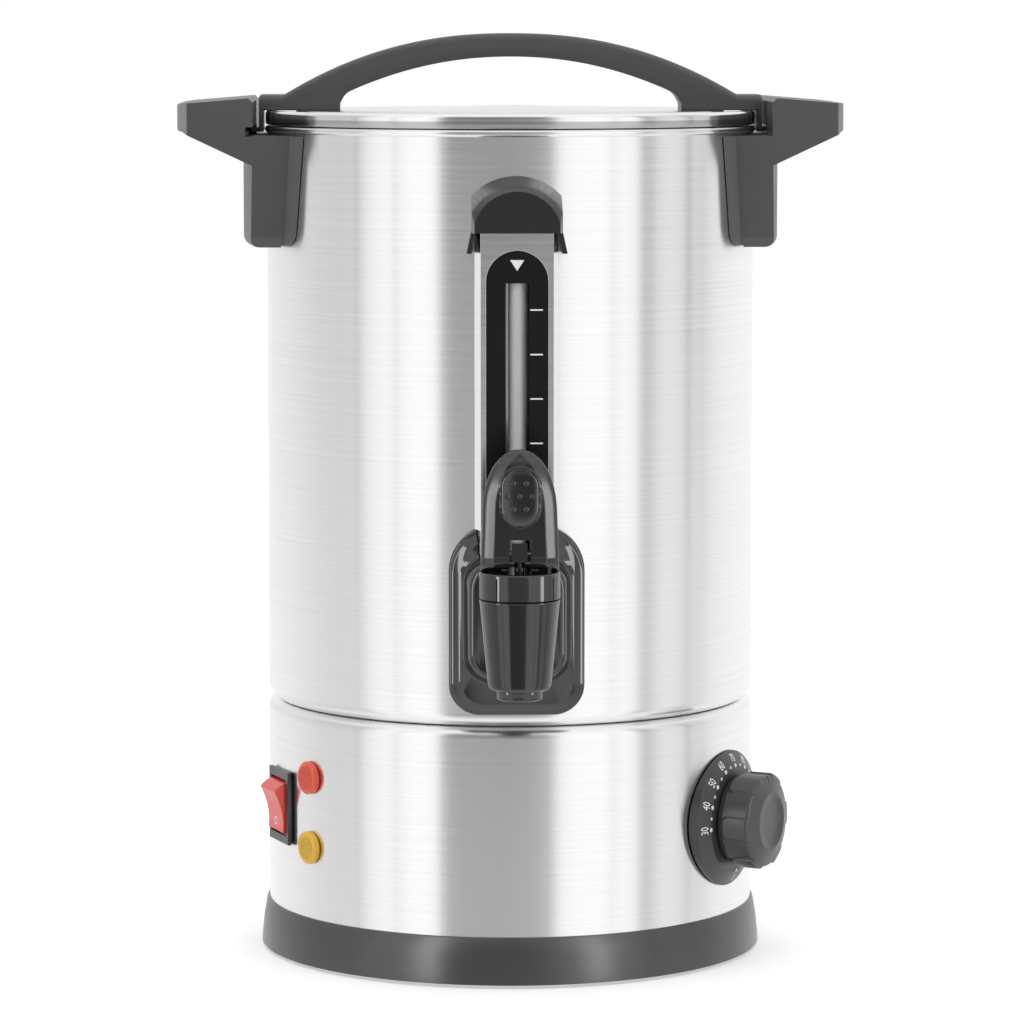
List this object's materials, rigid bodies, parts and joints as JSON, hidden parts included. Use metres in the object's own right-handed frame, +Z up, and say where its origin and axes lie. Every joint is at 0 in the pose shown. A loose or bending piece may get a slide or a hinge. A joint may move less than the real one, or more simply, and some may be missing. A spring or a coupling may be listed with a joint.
{
  "type": "hot water urn",
  "caption": "Cylindrical electric hot water urn with twist-lock lid, arch handle, side grips, front level gauge, lever tap, rocker switch and dial thermostat.",
  "frame": {"origin": "under the body axis, on the plane that the rubber foot ring stands on", "axes": "+Z up along the body axis, -Y towards the front with gauge and tap, +X towards the thermostat's side"},
  "size_m": [0.334, 0.3379, 0.4619],
  "materials": {
    "steel_brushed": "brushed stainless, fine grain around the body",
    "steel_polished": "polished stainless",
    "steel_zinc": "zinc plated",
    "aluminium_plate": "rolled sheet",
    "aluminium_sheathed": "sheathed heating element, matte",
    "black_satin": "satin moulded",
    "black_ring": "fine texture",
    "black_gloss": "polished moulded",
    "black_scale": "printed strip",
    "grey_pad": "matte moulded",
    "rubber_black": "matte",
    "seal_rubber": "moulded",
    "silicone_red": "moulded silicone",
    "silicone_white": "moulded silicone",
    "red_translucent": "translucent moulded",
    "amber_translucent": "translucent moulded",
    "glass_clear": "clear tube",
    "ceramic": "fired ceramic",
    "copper_line": "drawn copper",
    "brass_plain": "turned",
    "nylon_natural": "natural nylon",
    "lead_cover": "heat resistant lead cover"
  },
  "bodies": {
    "urn": {"tank": "steel_brushed", "lower_shell": "steel_brushed", "base_ring": "black_ring", "bottom_cover": "steel_zinc", "foot_ring": "rubber_black", "tie_studs": "steel_zinc", "tie_nuts": "steel_zinc", "heater_plate": "aluminium_plate", "heater_element": "aluminium_sheathed", "heater_terminals": "ceramic", "cutout": "ceramic", "cutout_screws": "steel_zinc", "thermostat_body": "ceramic", "thermostat_bezel": "black_satin", "thermostat_screws": "steel_zinc", "capillary_tube": "copper_line", "sensor_bulb": "copper_line", "bulb_clip": "steel_zinc", "switch_body": "black_satin", "lamp_heat_lens": "red_translucent", "lamp_warm_lens": "amber_translucent", "lamp_bodies": "black_satin", "lamp_clips": "steel_zinc", "cable_gland": "black_satin", "gland_nut": "black_satin", "terminal_block": "nylon_natural", "earth_stud": "brass_plain", "wiring": "lead_cover", "tap_escutcheon": "black_gloss", "tap_body": "black_gloss", "tap_washers": "seal_rubber", "tap_nut": "nylon_natural", "tap_spout": "black_gloss", "tap_collar": "black_gloss", "tap_spring": "steel_zinc", "gauge_tube": "glass_clear", "gauge_guard": "steel_brushed", "gauge_scale": "black_scale", "gauge_cap": "black_satin", "gauge_fitting": "nylon_natural", "gauge_nut": "brass_plain", "gauge_seals": "silicone_red", "side_handle_left": "black_satin", "side_handle_right": "black_satin", "handle_pad_left": "grey_pad", "handle_pad_right": "grey_pad", "handle_screws": "steel_zinc"},
    "lid_assembly": {"lid": "steel_brushed", "lid_handle": "black_satin", "lid_screws": "steel_zinc"},
    "stem": {"valve_stem": "black_satin", "valve_seal": "silicone_white"},
    "lever": {"tap_lever": "black_gloss", "lever_pin": "steel_zinc"},
    "dial_knob": {"thermostat_knob": "black_satin", "thermostat_shaft": "steel_zinc"},
    "rocker": {"switch_rocker": "red_translucent"}
  },
  "joints": [
    {"name": "lid_twist", "type": "hinge", "parent": "urn", "child": "lid_assembly", "pos_m": [0, 0, 0.42], "axis": [0, 0, 1], "range_deg": [0, 38]},
    {"name": "stem_lift", "type": "slide", "parent": "urn", "child": "stem", "axis": [0, 0, 1], "range_m": [0, 0.00416], "stiffness_N_per_m": 1200, "springref_m": -0.008, "deforming": ["tap_spring"]},
    {"name": "lever_press", "type": "hinge", "parent": "stem", "child": "lever", "pos_m": [0, -0.178, 0.219], "axis": [1, 0, 0], "range_deg": [0, 45]},
    {"name": "thermostat_turn", "type": "hinge", "parent": "urn", "child": "dial_knob", "pos_m": [0.11102, -0.0641, 0.073], "axis": [-0.866, 0.5, 0], "range_deg": [-178, 90]},
    {"name": "switch_press", "type": "hinge", "parent": "urn", "child": "rocker", "pos_m": [-0.11248, -0.04094, 0.077], "axis": [-0.342, 0.9397, 0], "range_deg": [0, 24]}
  ],
  "couplings": [
    {"joint": "lever_press", "follows": "stem_lift", "rad_per_m": 188.68}
  ]
}
